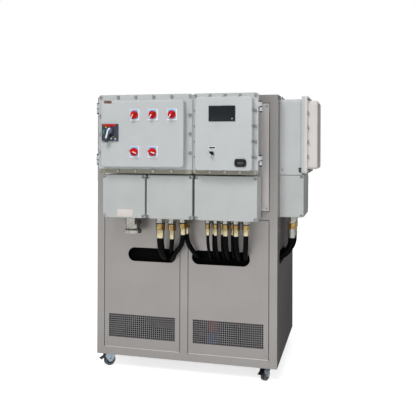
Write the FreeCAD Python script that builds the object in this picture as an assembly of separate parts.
import FreeCAD, Part
import math
import os

# Temperature control unit: a wheeled cabinet that heats and cools a circulating fluid, with
# flameproof switch and control enclosures on its front and side. Millimetres, +Z up, front faces -Y.
# Everything is placed from the front bottom left corner of the cabinet frame, and moved at the end.

# Cabinet frame
CABINET_WIDTH = 1200.0
CABINET_DEPTH = 925.0
CABINET_HEIGHT = 1700.0
TUBE = 50.0
TUBE_WALL = 2.5
MID_RAIL_BOTTOM = 922.0
UPRIGHT_WIDTH = 40.0
UPRIGHT_SPREAD = 250.0
GUSSET_SIZE = 120.0
GUSSET_THICKNESS = 8.0
TRAY_THICKNESS = 3.0
TRAY_LAP = 25.0

# Sheet panels, their tabs and screws
SHEET = 2.0
PANEL_GAP = 4.0
PANEL_RETURN = 14.0
TAB_REACH = 36.0
TAB_HEIGHT = 36.0
TAB_THICKNESS = 3.0
SCREW_INSET = 13.0
SCREW_RADIUS = 3.0
SCREW_HEAD_RADIUS = 6.0
SCREW_HEAD_HEIGHT = 3.2
SCREW_TIP = 4.0

# Cable slots and ventilation grilles of the lower panels
SLOT_HEIGHT = 90.0
SLOT_CENTRE_Z = 670.0
LEFT_SLOT_FROM_CENTRE = -381.0
LEFT_SLOT_LENGTH = 328.0
RIGHT_SLOT_FROM_CENTRE = 52.0
RIGHT_SLOT_LENGTH = 376.0
SIDE_SLOT_FROM_FRONT = 95.0
SIDE_SLOT_LENGTH = 290.0
GRILLE_PITCH = 13.8
GRILLE_HOLE = 10.0
GRILLE_COLUMNS = 33
GRILLE_ROWS = 11
GRILLE_BOTTOM_Z = 120.0
GRILLE_BORDER = 12.0
GRILLE_THICKNESS = 1.5

# Flameproof enclosures
STANDOFF = 30.0
STRUT_HEIGHT = 40.0
STRUT_INSET = 24.0
ENCLOSURE_HEIGHT = 488.0
ENCLOSURE_Z = 1209.0
SWITCH_WIDTH = 612.0
SWITCH_FROM_CENTRE = -502.0
CONTROL_WIDTH = 397.0
CONTROL_FROM_CENTRE = 113.0
SIDE_FROM_FRONT = 90.0
SIDE_OVERHANG = 18.0
SIDE_LID_MARGIN = 28.0
BODY_DEPTH = 155.0
BODY_WALL = 8.0
BODY_CORNER = 24.0
BACK_WALL = 10.0
FLANGE = 17.0
FLANGE_OVERHANG = 28.0
FLANGE_CORNER = 16.0
LID_RAISE = 62.0
LID_WALL = 9.0
LID_CORNER = 22.0
LID_EDGE = 9.0
SWITCH_LID_MARGIN = 40.0
CONTROL_LID_MARGIN = 25.0
SCALLOP_RADIUS = 15.0
SWITCH_BOLTS_ACROSS = 6
SWITCH_BOLTS_UPRIGHT = 5
CONTROL_BOLTS_ACROSS = 5
CONTROL_BOLTS_UPRIGHT = 6
BOLT_INSET = 15.0
BOLT_RADIUS = 5.0
BOLT_HEAD_FLATS = 17.0
BOLT_HEAD_HEIGHT = 9.0
TAPPED_RADIUS = 4.25
LUG_WIDTH = 34.0
LUG_HEIGHT = 20.0
LUG_THICKNESS = 8.0
LUG_HOLE_RADIUS = 5.5
LUG_FROM_EDGE = 70.0
HINGE_OFFSET = 12.0
HINGE_RADIUS = 9.0
HINGE_BARREL = 27.0
HINGE_LOW_Z = 85.0
HINGE_HIGH_Z = 405.0
HINGE_PIN_RADIUS = 4.0
HINGE_PIN_PROUD = 3.0

# Rotary switches and main isolator on the switch lid, from its lower left flange corner
SWITCH_COLUMNS = (264.0, 381.0, 502.0)
SWITCH_TOP_ROW = 359.0
SWITCH_LOW_ROW = 134.0
PLATE_WIDTH = 62.0
PLATE_HEIGHT = 70.0
PLATE_THICKNESS = 5.0
PLATE_CORNER = 5.0
KNOB_RADIUS = 23.0
KNOB_BASE = 11.0
GRIP_LENGTH = 54.0
GRIP_WIDTH = 17.0
GRIP_HEIGHT = 20.0
KNOB_SHAFT_RADIUS = 5.0
SHAFT_INSIDE = 12.0
TOP_ROW_TURN = 58.0
LOW_ROW_TURN = -22.0
ISOLATOR_U = 105.0
ISOLATOR_Z = 252.0
ISOLATOR_WIDTH = 106.0
ISOLATOR_HEIGHT = 104.0
ISOLATOR_THICKNESS = 10.0
ISOLATOR_HUB_RIGHT = 7.0
ISOLATOR_HUB_ABOVE = 11.0
ISOLATOR_HUB_RADIUS = 21.0
ISOLATOR_HUB_HEIGHT = 16.0
LEVER_LENGTH = 76.0
LEVER_WIDTH = 22.0
LEVER_HEIGHT = 20.0
LEVER_TURN = -107.0

# Touch screen, selector and port on the control lid, from its lower left flange corner
SCREEN_U = 192.0
SCREEN_Z = 362.0
SCREEN_WIDTH = 160.0
SCREEN_HEIGHT = 92.0
SCREEN_THICKNESS = 4.0
SCREEN_CORNER = 4.0
SELECTOR_U = 132.0
SELECTOR_Z = 128.0
SELECTOR_BEZEL_RADIUS = 17.0
SELECTOR_BEZEL_HEIGHT = 6.0
SELECTOR_RADIUS = 12.0
SELECTOR_BASE = 8.0
SELECTOR_GRIP_WIDTH = 8.0
SELECTOR_GRIP_HEIGHT = 9.0
PORT_U = 304.0
PORT_Z = 73.0
PORT_WIDTH = 62.0
PORT_HEIGHT = 38.0
PORT_THICKNESS = 8.0
PORT_CORNER = 9.0

# Terminal boxes
BOX_Z = 929.0
BOX_HEIGHT = 271.0
BOX_A_WIDTH = 281.0
BOX_B_WIDTH = 294.0
WIDE_BOX_WIDTH = 386.0
BOX_A_FROM_CENTRE = -484.0
BOX_B_FROM_CENTRE = -192.0
BOX_C_FROM_CENTRE = 116.0
SIDE_BOX_FROM_FRONT = 112.0
BOX_BODY_DEPTH = 118.0
BOX_WALL = 7.0
BOX_CORNER = 9.0
COVER_LIP = 10.0
COVER_RAISE = 22.0
COVER_CUT = 21.0
COVER_WALL = 6.0
COVER_EDGE = 5.0
COVER_SCREW_INSET = 10.5
COVER_SCREW_LENGTH = 22.0
BOSS_RADIUS = 9.0

# Glands and flexible conduits: position along the box, distance from its back, conduit diameter,
# width of the hexagon across its flats, share of the full gland length
GLAND_FRONT_ROW = 88.0
GLAND_REAR_ROW = 38.0
GLAND_HEX = 32.0
GLAND_NECK = 9.0
GLAND_NUT = 38.0
GLAND_SLEEVE = 57.0
NUT_UNDER = 4.0
NECK_OVER = 4.0
SLEEVE_OVER = 2.4
SPIGOT_INSIDE = 5.0
BOX_B_GLANDS = ((72.0, GLAND_FRONT_ROW, 44.0, 56.0, 0.92), (147.0, GLAND_FRONT_ROW, 28.0, 50.0, 0.95),
                (220.0, GLAND_FRONT_ROW, 30.0, 50.0, 0.72), (229.0, GLAND_REAR_ROW, 30.0, 40.0, 0.72))
BOX_C_GLANDS = ((70.0, GLAND_FRONT_ROW, 19.0, 31.0, 0.7), (120.0, GLAND_FRONT_ROW, 18.0, 30.0, 0.7),
                (182.0, GLAND_FRONT_ROW, 30.0, 42.0, 0.7), (248.0, GLAND_FRONT_ROW, 30.0, 42.0, 0.7),
                (308.0, GLAND_FRONT_ROW, 31.0, 43.0, 0.66), (95.0, GLAND_REAR_ROW, 18.0, 30.0, 0.7),
                (151.0, GLAND_REAR_ROW, 20.0, 32.0, 0.7), (215.0, GLAND_REAR_ROW, 22.0, 34.0, 0.7))
SIDE_GLANDS = ((70.0, 68.0, 46.0, 58.0, 1.0), (186.0, 68.0, 46.0, 58.0, 1.0))
SUPPLY_GLAND_U = 173.0
SUPPLY_GLAND_ROW = 64.0
SUPPLY_HEX_FLATS = 95.0
SUPPLY_HEX = 46.0
SUPPLY_NECK_RADIUS = 43.0
SUPPLY_NECK = 26.0
SUPPLY_FLARE = 12.0
SUPPLY_RIM_RADIUS = 54.0
SUPPLY_RIM = 18.0
SUPPLY_SPIGOT_RADIUS = 25.0
SUPPLY_BORE_RADIUS = 17.0
CONDUIT_Z = 665.0
CONDUIT_HIGH_Z = 687.0
CONDUIT_LOW_Z = 643.0
CONDUIT_DROP = 50.0
CONDUIT_TURN_Y = -22.0
BEND_SHARE = 0.97

# Conduits that leave sideways: box and number, end from the cabinet's centre line, height of the end
SIDEWAYS_CONDUITS = {("b", 1): (-88.0, CONDUIT_HIGH_Z), ("b", 2): (-88.0, CONDUIT_LOW_Z),
                     ("b", 3): (100.0, CONDUIT_Z), ("c", 4): (400.0, CONDUIT_Z)}

# Cable duct behind the slots
DUCT_DEPTH = 100.0
DUCT_BOTTOM_Z = 600.0
DUCT_TOP_Z = 735.0
DUCT_START_X = 20.0
DUCT_SIDE_GAP = 50.0
DUCT_SIDE_WIDTH = 90.0
DUCT_SIDE_LENGTH = 350.0

# Casters
CASTER_HEIGHT = 100.0
CASTER_FROM_SIDE = 74.0
CASTER_FROM_FRONT = 100.0
CASTER_PLATE_LENGTH = 95.0
CASTER_PLATE_WIDTH = 70.0
CASTER_PLATE = 4.0
RACE_RADIUS = 26.0
RACE_HEIGHT = 10.0
CROWN_HEIGHT = 5.0
KING_PIN_RADIUS = 6.0
CHEEK = 3.0
WHEEL_RADIUS = 37.5
WHEEL_WIDTH = 27.0
WHEEL_SIDE_GAP = 2.0
WHEEL_ROUND = 5.0
WHEEL_DISH = 4.0
WHEEL_RIM = 9.0
WHEEL_HUB_RADIUS = 11.0
AXLE_RADIUS = 5.0
AXLE_HEAD_RADIUS = 8.5
AXLE_HEAD = 4.0
CHEEK_ROUND = 11.0
TRAIL = 28.0
PEDAL_PIVOT_BEHIND = 32.0
PEDAL_PIVOT_ABOVE = 32.5
PEDAL_PIN_RADIUS = 3.0
PEDAL_BARREL_RADIUS = 5.5
PEDAL_LENGTH = 26.0
PEDAL_WIDTH = 34.0
PEDAL_THICKNESS = 4.0
PEDAL_SLOPE = 24.0
LEFT_SWIVEL = 232.0
RIGHT_SWIVEL = 250.0

# Machine inside: pump, heater vessel, expansion tank, exchanger, compressor, pipework
PUMP_X = 730.0
PUMP_Y = 230.0
PUMP_RADIUS = 40.0
PUMP_HEIGHT = 80.0
PUMP_CHAMBER_RADIUS = 31.0
PUMP_CHAMBER_BOTTOM = 15.0
PUMP_CHAMBER_HEIGHT = 46.0
MOTOR_RADIUS = 32.0
MOTOR_HEIGHT = 170.0
MOTOR_FIN = 4.0
MOTOR_FINS = 16
MOTOR_SHAFT_RADIUS = 8.0
IMPELLER_RADIUS = 28.0
IMPELLER_HEIGHT = 28.0
IMPELLER_BLADES = 6
HEATER_X = 250.0
HEATER_Y = 600.0
HEATER_RADIUS = 110.0
HEATER_HEIGHT = 697.0
HEATER_FLANGE_RADIUS = 135.0
HEATER_FLANGE = 28.0
HEATER_WALL = 6.0
TANK_RADIUS = 120.0
TANK_HEIGHT = 380.0
TANK_DOME = 30.0
TANK_WALL = 4.0
FILLER_RADIUS = 14.0
EXCHANGER_X = 540.0
EXCHANGER_Y = 600.0
EXCHANGER_WIDTH = 120.0
EXCHANGER_DEPTH = 110.0
EXCHANGER_HEIGHT = 480.0
EXCHANGER_PLATE = 12.0
EXCHANGER_INSET = 5.0
COMPRESSOR_X = 1000.0
COMPRESSOR_Y = 330.0
COMPRESSOR_RADIUS = 80.0
COMPRESSOR_HEIGHT = 400.0
COMPRESSOR_DOME = 40.0
COMPRESSOR_FOOT = 200.0
COMPRESSOR_FOOT_THICKNESS = 6.0
MOUNT_RADIUS = 15.0
MOUNT_HEIGHT = 26.0
MOUNT_INSET = 22.0
PIPE_RADIUS = 20.0
SMALL_PIPE_RADIUS = 16.0
WATER_PIPE_RADIUS = 14.0
COPPER_RADIUS = 10.0
PIPE_Z = 640.0
COMPRESSOR_PIPE_Z = 150.0
SUCTION_Z = 110.0
DISCHARGE_Z = 75.0
COPPER_HIGH_Z = 580.0
COPPER_MID_Z = 400.0
COPPER_RISER_X = 862.0
COPPER_DROP_X = 740.0
SUPPLY_X = 430.0
LANE_Y = 450.0
WATER_X = 800.0
WATER_LOW_Z = 240.0
WATER_HIGH_Z = 340.0
WATER_Y = 680.0
PORT_STANDOFF = 22.0
PORT_FLANGE_RADIUS = 75.0
PORT_FLANGE = 18.0
PORT_BORE_RADIUS = 16.0
PORT_BORE_LENGTH = 60.0
PORT_BOLT_CIRCLE = 110.0
PORT_BOLT_RADIUS = 9.0
PORT_BOLTS = 4
WATER_PORT_FLATS = 46.0
WATER_PORT_BORE_RADIUS = 15.0
WATER_PORT_LENGTH = 34.0
WATER_PORT_WALL = 4.0
PANEL_HOLE_OVER = 4.0

# Gear inside the enclosures and terminal boxes
GEAR_PLATE = 3.0
GEAR_PLATE_INSET = 58.0
GEAR_STUD = 14.0
GEAR_STUD_RADIUS = 7.0
GEAR_STUD_INSET = 20.0
BREAKER = (105.0, 85.0, 165.0)
CONTACTOR = (46.0, 78.0, 88.0)
CONTACTOR_COUNT = 5
CONTACTOR_PITCH = 52.0
CONTROLLER = (170.0, 66.0, 110.0)
DRIVE = (150.0, 92.0, 150.0)
GEAR_TOP_GAP = 24.0
GEAR_SIDE_GAP = 24.0
TERMINAL_HEIGHT = 58.0
TERMINAL_DEPTH = 46.0
TERMINAL_END_GAP = 44.0

# Clearances
FIXED_FIT = 0.15
RUNNING_FIT = 0.05
FACE_GAP = 0.3
CUT_OVER = 1.0

# Places worked out from the sizes above
Vector = FreeCAD.Vector
X_AXIS = Vector(1, 0, 0)
Y_AXIS = Vector(0, 1, 0)
Z_AXIS = Vector(0, 0, 1)
CENTRE_X = CABINET_WIDTH / 2
TRAY_TOP = TUBE + TRAY_THICKNESS
LID_BACK = BODY_DEPTH + FACE_GAP
LID_SHOULDER = LID_BACK + FLANGE
LID_FACE = LID_SHOULDER + LID_RAISE
BOX_FRONT = BOX_BODY_DEPTH + COVER_LIP + COVER_RAISE
SWITCH_X = CENTRE_X + SWITCH_FROM_CENTRE
CONTROL_X = CENTRE_X + CONTROL_FROM_CENTRE
GRILLE_WIDTH = GRILLE_COLUMNS * GRILLE_PITCH
GRILLE_HEIGHT = GRILLE_ROWS * GRILLE_PITCH
FRONT_REACH = STANDOFF + LID_FACE + ISOLATOR_THICKNESS + FACE_GAP + ISOLATOR_HUB_HEIGHT + LEVER_HEIGHT
REAR_REACH = PORT_STANDOFF + PORT_FLANGE
SIDE_REACH = LID_FACE
LEFT_REACH = SCREW_HEAD_HEIGHT
MIDDLE = Vector((LEFT_REACH - CABINET_WIDTH - SIDE_REACH) / 2, (FRONT_REACH - CABINET_DEPTH - REAR_REACH) / 2,
                CASTER_HEIGHT)

nodes = {}


def add(name, *solids):
    """Put solids into the named node."""
    nodes.setdefault(name, []).extend(solids)


def block(low, high):
    """Box between two corners."""
    return Part.makeBox(high[0] - low[0], high[1] - low[1], high[2] - low[2], Vector(*low))


def rod(radius, start, axis, length):
    """Round bar from a start point along an axis."""
    return Part.makeCylinder(radius, length, Vector(*start), axis)


def hex_bar(across_flats, start, axis, length):
    """Hexagonal bar from a start point along X, Y or Z."""
    side = X_AXIS if axis.z else Z_AXIS
    other = axis.cross(side)
    reach = across_flats / math.sqrt(3)
    corners = []
    for step in range(7):
        angle = math.radians(60 * step)
        corners.append(Vector(*start) + side * (reach * math.cos(angle)) + other * (reach * math.sin(angle)))
    return Part.Face(Part.makePolygon(corners)).extrude(axis * length)


def rounded_plate(u_low, u_high, z_low, z_high, radius, y_front, y_back):
    """Plate with round corners, upright across X and Z, from y_front back to y_back."""
    centres = ((u_high - radius, z_low + radius, -90), (u_high - radius, z_high - radius, 0),
               (u_low + radius, z_high - radius, 90), (u_low + radius, z_low + radius, 180))
    edges = []
    last = None
    first = None
    for u, z, start in centres:
        points = []
        for turn in (start, start + 45, start + 90):
            angle = math.radians(turn)
            points.append(Vector(u + radius * math.cos(angle), y_front, z + radius * math.sin(angle)))
        if last is not None:
            edges.append(Part.makeLine(last, points[0]))
        else:
            first = points[0]
        edges.append(Part.Arc(*points).toShape())
        last = points[2]
    edges.append(Part.makeLine(last, first))
    return Part.Face(Part.Wire(edges)).extrude(Vector(0, y_back - y_front, 0))


def soften(shape, y, radius):
    """Round the outer edges that lie in the plane at y."""
    edges = [edge for edge in shape.Edges if all(abs(v.Y - y) < FIXED_FIT for v in edge.Vertexes)]
    return shape.makeFillet(radius, edges)


def joined(*shapes):
    """One solid from overlapping or touching shapes."""
    return shapes[0].multiFuse(list(shapes[1:])).removeSplitter()


def cut_all(shape, tools):
    """Shape with all tools cut away."""
    return shape.cut(Part.makeCompound(tools))


def moved(shape, offset):
    """Copy of a shape at an offset."""
    copy = shape.copy()
    copy.translate(Vector(*offset))
    return copy


def turned(shape, centre, axis, degrees):
    """Copy of a shape turned about an axis."""
    copy = shape.copy()
    copy.rotate(Vector(*centre), axis, degrees)
    return copy


def on_side(shape, offset):
    """Copy of a shape made for the front, turned to face the right and moved."""
    return moved(turned(shape, (0, 0, 0), Z_AXIS, 90), offset)


def pipe(radius, points):
    """Round bar along straight runs joined by the largest tangent arcs that fit."""
    route = [Vector(*point) for point in points]
    solids = []
    radii = []
    start = route[0]
    for index in range(1, len(route) - 1):
        corner = route[index]
        before = corner - route[index - 1]
        after = route[index + 1] - corner
        room_before = before.Length if index == 1 else before.Length / 2
        room_after = after.Length if index == len(route) - 2 else after.Length / 2
        before.normalize()
        after.normalize()
        turn = before.getAngle(after)
        setback = BEND_SHARE * min(room_before, room_after)
        bend = setback / math.tan(turn / 2)
        radii.append(bend)
        axis = before.cross(after)
        axis.normalize()
        begin = corner - before * setback
        centre = begin + axis.cross(before) * bend
        if (begin - start).Length > FACE_GAP:
            solids.append(Part.makeCylinder(radius, (begin - start).Length, start, before))
        disc = Part.Face(Part.Wire(Part.makeCircle(radius, begin, before)))
        solids.append(disc.revolve(centre, axis, math.degrees(turn)))
        start = corner + after * setback
    last = route[-1] - start
    solids.append(Part.makeCylinder(radius, last.Length, start, last))
    return joined(*solids) if len(solids) > 1 else solids[0], radii


def tube_member(low, high, axis, end_cap):
    """Square tube between two corners, hollow along an axis, with an optional closed top end."""
    inner_low = [value + TUBE_WALL for value in low]
    inner_high = [value - TUBE_WALL for value in high]
    inner_low[axis] = low[axis]
    inner_high[axis] = high[axis] - end_cap
    return block(low, high).cut(block(inner_low, inner_high))


def stadium(x_low, x_high, z_middle, height, y_low, y_high):
    """Slot with round ends, cut along Y."""
    return rounded_plate(x_low, x_high, z_middle - height / 2, z_middle + height / 2,
                         height / 2 - FACE_GAP / 100, y_low, y_high)


# Cabinet frame
def build_frame():
    far_x = CABINET_WIDTH - TUBE
    far_y = CABINET_DEPTH - TUBE
    top = CABINET_HEIGHT - TUBE
    mid_top = MID_RAIL_BOTTOM + TUBE
    for x in (0, far_x):
        for y in (0, far_y):
            add("frame_posts", tube_member((x, y, 0), (x + TUBE, y + TUBE, CABINET_HEIGHT), 2, TUBE_WALL))
    post = CENTRE_X - TUBE / 2
    add("frame_posts", tube_member((post, 0, TUBE), (post + TUBE, TUBE, MID_RAIL_BOTTOM), 2, 0))
    notch_height = PANEL_GAP + SHEET + FACE_GAP
    notch_depth = PANEL_RETURN + FACE_GAP
    for spread in (-UPRIGHT_SPREAD, UPRIGHT_SPREAD):
        low_x = CENTRE_X + spread - UPRIGHT_WIDTH / 2
        high_x = low_x + UPRIGHT_WIDTH
        upright = tube_member((low_x, SHEET, mid_top), (high_x, TUBE, top), 2, 0)
        notches = [block((low_x, 0, z), (high_x, notch_depth, z + notch_height))
                   for z in (mid_top, top - notch_height)]
        add("frame_posts", cut_all(upright, notches))
    for z in (0, MID_RAIL_BOTTOM, top):
        add("frame_rails", tube_member((TUBE, 0, z), (far_x, TUBE, z + TUBE), 0, 0))
    for z in (0, top):
        add("frame_rails", tube_member((TUBE, far_y, z), (far_x, CABINET_DEPTH, z + TUBE), 0, 0))
        for x in (0, far_x):
            add("frame_rails", tube_member((x, TUBE, z), (x + TUBE, far_y, z + TUBE), 1, 0))
    for x in (TUBE, far_x - GUSSET_SIZE):
        for y in (TUBE, far_y - GUSSET_SIZE):
            add("frame_rails", block((x, y, 0), (x + GUSSET_SIZE, y + GUSSET_SIZE, GUSSET_THICKNESS)))
    tray = block((TUBE, TRAY_LAP, TUBE), (far_x, CABINET_DEPTH - TRAY_LAP, TRAY_TOP))
    post_notch = block((post - FACE_GAP, 0, TUBE), (post + TUBE + FACE_GAP, TUBE + FACE_GAP, TRAY_TOP))
    add("base_tray", tray.cut(post_notch))


# Panels, with folded returns that rest on welded tabs and a screw at each tab
def screw(start, axis, length):
    """Pan head screw whose head sits at start and whose shank runs along axis."""
    back = axis * -SCREW_HEAD_HEIGHT
    head = rod(SCREW_HEAD_RADIUS, Vector(*start) + back, axis, SCREW_HEAD_HEIGHT)
    return joined(head, rod(SCREW_RADIUS, start, axis, length))


def build_panel(low, high, axis, outer_high, side, levels):
    """Tray panel across an opening, held at its edges along side at the given levels."""
    inner_low = [value + SHEET for value in low]
    inner_high = [value - SHEET for value in high]
    if outer_high:
        inner_low[axis] = low[axis]
    else:
        inner_high[axis] = high[axis]
    along = 3 - axis - side
    direction = [0, 0, 0]
    direction[axis] = -1 if outer_high else 1
    holes = []
    for level in levels:
        for edge, sign in ((low[side], 1), (high[side], -1)):
            spot = [0, 0, 0]
            spot[axis] = high[axis] if outer_high else low[axis]
            spot[side] = edge + sign * SCREW_INSET
            spot[along] = level
            tab_low = list(spot)
            tab_high = list(spot)
            seat = edge - sign * PANEL_GAP
            tab_low[side] = min(seat, seat + sign * TAB_REACH)
            tab_high[side] = max(seat, seat + sign * TAB_REACH)
            tab_low[along] = level - TAB_HEIGHT / 2
            tab_high[along] = level + TAB_HEIGHT / 2
            inner_face = low[axis] if outer_high else high[axis]
            tab_low[axis] = min(inner_face, inner_face + direction[axis] * TAB_THICKNESS)
            tab_high[axis] = max(inner_face, inner_face + direction[axis] * TAB_THICKNESS)
            way = Vector(*direction)
            shank = abs(high[axis] - low[axis]) + TAB_THICKNESS + SCREW_TIP
            hole = rod(SCREW_RADIUS + FIXED_FIT, Vector(*spot) - way * CUT_OVER, way, shank + 2 * CUT_OVER)
            add("panel_tabs", block(tab_low, tab_high).cut(hole))
            add("panel_screws", screw(spot, way, shank))
            holes.append(hole)
    return cut_all(block(low, high).cut(block(inner_low, inner_high)), holes)


def build_panels():
    inset = TUBE + PANEL_GAP
    right = CABINET_WIDTH - inset
    back = CABINET_DEPTH - inset
    top = CABINET_HEIGHT - inset
    level_low = inset + TAB_HEIGHT / 2
    level_high = top - TAB_HEIGHT / 2
    level_middle = CABINET_HEIGHT / 2
    lower_top = MID_RAIL_BOTTOM - PANEL_GAP
    lower_levels = (level_low, lower_top - TAB_HEIGHT / 2)
    upper_low = MID_RAIL_BOTTOM + TUBE + PANEL_GAP
    upper_levels = (upper_low + TAB_HEIGHT / 2, level_high)
    tall_levels = (level_low, level_middle, level_high)
    upper = build_panel((inset, 0, upper_low), (right, PANEL_RETURN, top), 1, False, 0, upper_levels)
    add("upper_front_panel", upper)
    post_half = TUBE / 2 + PANEL_GAP
    slots = {"lower_left_panel": (inset, CENTRE_X - post_half, LEFT_SLOT_FROM_CENTRE, LEFT_SLOT_LENGTH),
             "lower_right_panel": (CENTRE_X + post_half, right, RIGHT_SLOT_FROM_CENTRE, RIGHT_SLOT_LENGTH)}
    for name, (x_low, x_high, from_centre, slot_length) in slots.items():
        panel = build_panel((x_low, 0, inset), (x_high, PANEL_RETURN, lower_top), 1, False, 0, lower_levels)
        slot_x = CENTRE_X + from_centre
        slot = stadium(slot_x, slot_x + slot_length, SLOT_CENTRE_Z, SLOT_HEIGHT, -CUT_OVER, SHEET + CUT_OVER)
        window_x = (x_low + x_high - GRILLE_WIDTH) / 2
        window = block((window_x, -CUT_OVER, GRILLE_BOTTOM_Z),
                       (window_x + GRILLE_WIDTH, SHEET + CUT_OVER, GRILLE_BOTTOM_Z + GRILLE_HEIGHT))
        add(name, cut_all(panel, [slot, window]))
        add("ventilation_grilles", grille(window_x))
    side_low = (0, inset, inset)
    left = build_panel(side_low, (PANEL_RETURN, back, top), 0, False, 1, tall_levels)
    add("left_side_panel", left)
    side = build_panel((CABINET_WIDTH - PANEL_RETURN, inset, inset), (CABINET_WIDTH, back, top),
                       0, True, 1, tall_levels)
    side_slot = stadium(SIDE_SLOT_FROM_FRONT, SIDE_SLOT_FROM_FRONT + SIDE_SLOT_LENGTH, SLOT_CENTRE_Z,
                        SLOT_HEIGHT, -CUT_OVER, SHEET + CUT_OVER)
    add("right_side_panel", side.cut(on_side(side_slot, (CABINET_WIDTH, 0, 0))))
    rear = build_panel((inset, CABINET_DEPTH - PANEL_RETURN, inset), (right, CABINET_DEPTH, top),
                       1, True, 0, tall_levels)
    ports = []
    for x, z, radius in rear_ports():
        start = (x, CABINET_DEPTH - PANEL_RETURN - CUT_OVER, z)
        ports.append(rod(radius + PANEL_HOLE_OVER, start, Y_AXIS, PANEL_RETURN + 2 * CUT_OVER))
    add("back_panel", cut_all(rear, ports))
    roof = build_panel((inset, inset, CABINET_HEIGHT - PANEL_RETURN), (right, back, CABINET_HEIGHT),
                       2, True, 0, (inset + TAB_HEIGHT, back - TAB_HEIGHT))
    add("top_panel", roof)


def grille(window_x):
    """Perforated sheet behind a panel window, with a square hole at each step of the pitch."""
    left = window_x - GRILLE_BORDER
    bottom = GRILLE_BOTTOM_Z - GRILLE_BORDER
    right = window_x + GRILLE_WIDTH + GRILLE_BORDER
    top = GRILLE_BOTTOM_Z + GRILLE_HEIGHT + GRILLE_BORDER
    wires = [rectangle(left, right, bottom, top)]
    margin = (GRILLE_PITCH - GRILLE_HOLE) / 2
    for column in range(GRILLE_COLUMNS):
        for row in range(GRILLE_ROWS):
            x = window_x + column * GRILLE_PITCH + margin
            z = GRILLE_BOTTOM_Z + row * GRILLE_PITCH + margin
            wires.append(rectangle(x, x + GRILLE_HOLE, z, z + GRILLE_HOLE))
    return Part.makeFace(wires, "Part::FaceMakerBullseye").extrude(Vector(0, GRILLE_THICKNESS, 0))


def rectangle(x_low, x_high, z_low, z_high):
    """Upright rectangle on the back of the front sheet."""
    corners = [(x_low, z_low), (x_high, z_low), (x_high, z_high), (x_low, z_high), (x_low, z_low)]
    return Part.makePolygon([Vector(x, SHEET, z) for x, z in corners])


# Flameproof enclosures, made to face the front with their back at y = 0
def bolt_places(width, across, upright):
    """Bolt places round a flange, corners included."""
    step_u = (width - 2 * BOLT_INSET) / (across - 1)
    step_z = (ENCLOSURE_HEIGHT - 2 * BOLT_INSET) / (upright - 1)
    places = []
    for column in range(across):
        for row in range(upright):
            if column in (0, across - 1) or row in (0, upright - 1):
                places.append((BOLT_INSET + column * step_u, BOLT_INSET + row * step_z))
    return places


def hinge_arm(edge_u, axis_u, y_low, y_high, z_low):
    """Barrel round the hinge axis with an arm to the flange edge."""
    barrel = rod(HINGE_RADIUS, (axis_u, -BODY_DEPTH, z_low), Z_AXIS, HINGE_BARREL - FACE_GAP)
    arm_top = z_low + HINGE_BARREL - FACE_GAP
    arm = block((min(edge_u, axis_u), y_low, z_low), (max(edge_u, axis_u), y_high, arm_top))
    return [barrel, arm]


def enclosure_body(width, places, edge_u, axis_u, overhang, foot):
    """Cast body with flange and hinge arms, held by lugs above, and by lugs or a foot below."""
    far_u = width - overhang
    far_z = ENCLOSURE_HEIGHT - overhang
    shell = rounded_plate(overhang, far_u, overhang, far_z, BODY_CORNER, -BODY_DEPTH, 0)
    flange = rounded_plate(0, width, 0, ENCLOSURE_HEIGHT, FLANGE_CORNER, -BODY_DEPTH, FLANGE - BODY_DEPTH)
    pieces = [shell, flange]
    lug_levels = [far_z]
    if foot:
        pieces.append(block((overhang, FLANGE - BODY_DEPTH, -foot), (far_u, 0, overhang + BODY_CORNER)))
    else:
        lug_levels.append(overhang - LUG_HEIGHT)
    for u in (LUG_FROM_EDGE, width - LUG_FROM_EDGE):
        for z in lug_levels:
            pieces.append(block((u - LUG_WIDTH / 2, -LUG_THICKNESS, z), (u + LUG_WIDTH / 2, 0, z + LUG_HEIGHT)))
    for z in (HINGE_LOW_Z, HINGE_HIGH_Z):
        pieces += hinge_arm(edge_u, axis_u, CUT_OVER - BODY_DEPTH, FLANGE - BODY_DEPTH, z - HINGE_BARREL)
    cuts = [rounded_plate(overhang + BODY_WALL, far_u - BODY_WALL, overhang + BODY_WALL, far_z - BODY_WALL,
                          BODY_CORNER - BODY_WALL, -BODY_DEPTH - CUT_OVER, -BACK_WALL)]
    for u, z in places:
        cuts.append(rod(TAPPED_RADIUS, (u, -BODY_DEPTH - CUT_OVER, z), Y_AXIS, FLANGE + 2 * CUT_OVER))
    for u in (LUG_FROM_EDGE, width - LUG_FROM_EDGE):
        for z in lug_levels:
            start = (u, -LUG_THICKNESS - CUT_OVER, z + LUG_HEIGHT / 2)
            cuts.append(rod(LUG_HOLE_RADIUS, start, Y_AXIS, LUG_THICKNESS + 2 * CUT_OVER))
    cuts.append(rod(HINGE_PIN_RADIUS + RUNNING_FIT, (axis_u, -BODY_DEPTH, 0), Z_AXIS, ENCLOSURE_HEIGHT))
    return cut_all(joined(*pieces), cuts)


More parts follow.
